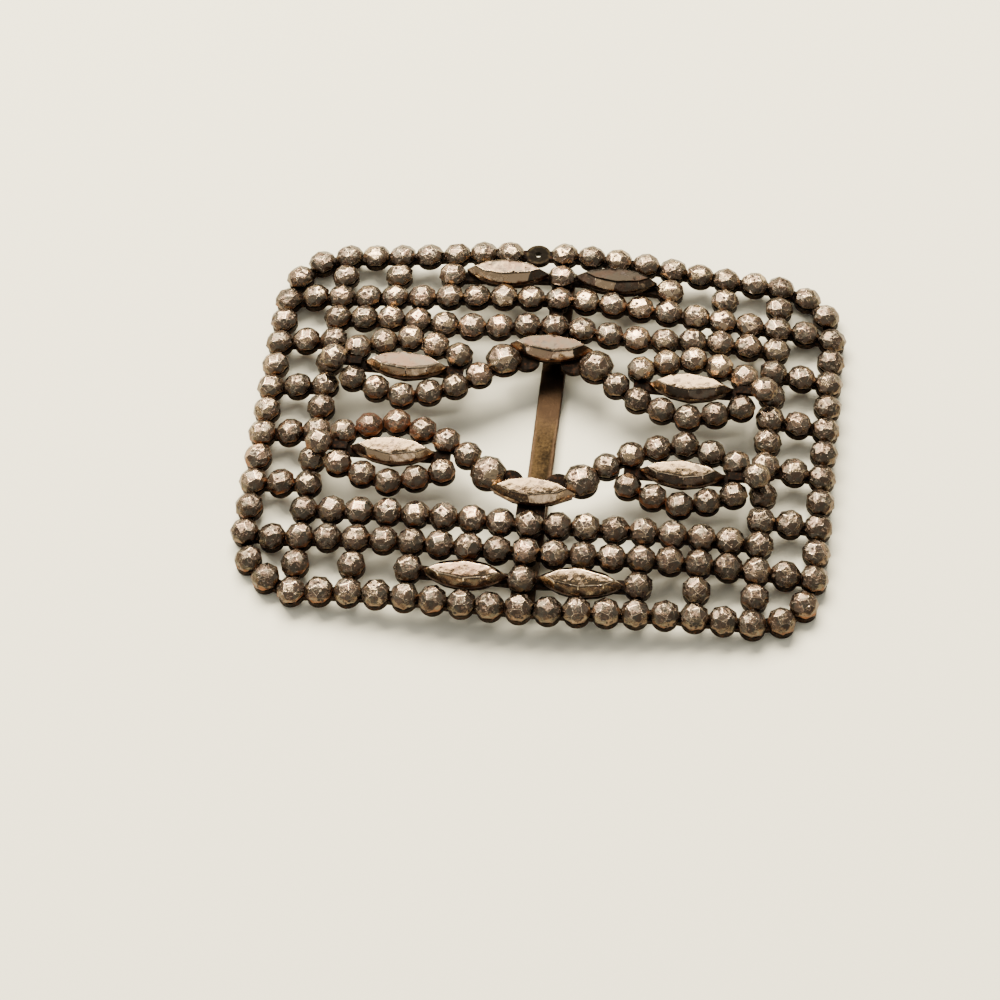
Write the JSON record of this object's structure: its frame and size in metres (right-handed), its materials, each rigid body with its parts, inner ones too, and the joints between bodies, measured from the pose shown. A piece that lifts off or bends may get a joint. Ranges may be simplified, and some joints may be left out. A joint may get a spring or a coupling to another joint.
{
  "type": "cut steel belt buckle",
  "caption": "Rectangular openwork belt buckle of riveted faceted steel studs and marquises on a pierced domed plate, with a strap bar behind.",
  "frame": {"origin": "middle of the buckle's outline, on the plane that it lies on", "axes": "+X to the wearer's left along the long side, +Y towards the top edge, +Z out of the decorated front"},
  "size_m": [0.0672, 0.0512, 0.0068],
  "materials": {
    "plate": "aged, darkened",
    "studs": "polished facets, worn and rusted",
    "marquises": "polished, stained",
    "bar": "aged satin"
  },
  "bodies": {
    "root": {"openwork_plate": "plate", "strap_bar": "bar", "border_studs": "studs", "upper_row_studs": "studs", "lower_row_studs": "studs", "left_side_studs": "studs", "right_side_studs": "studs", "upper_left_rosette_studs": "studs", "upper_right_rosette_studs": "studs", "lower_left_rosette_studs": "studs", "lower_right_rosette_studs": "studs", "upper_left_big_stud": "studs", "upper_right_big_stud": "studs", "lower_left_big_stud": "studs", "lower_right_big_stud": "studs", "upper_centre_marquise": "marquises", "lower_centre_marquise": "marquises", "upper_left_rosette_marquise": "marquises", "upper_right_rosette_marquise": "marquises", "lower_left_rosette_marquise": "marquises", "lower_right_rosette_marquise": "marquises", "upper_left_border_marquise": "marquises", "upper_right_border_marquise": "marquises", "lower_left_border_marquise": "marquises", "lower_right_border_marquise": "marquises"}
  },
  "joints": []
}
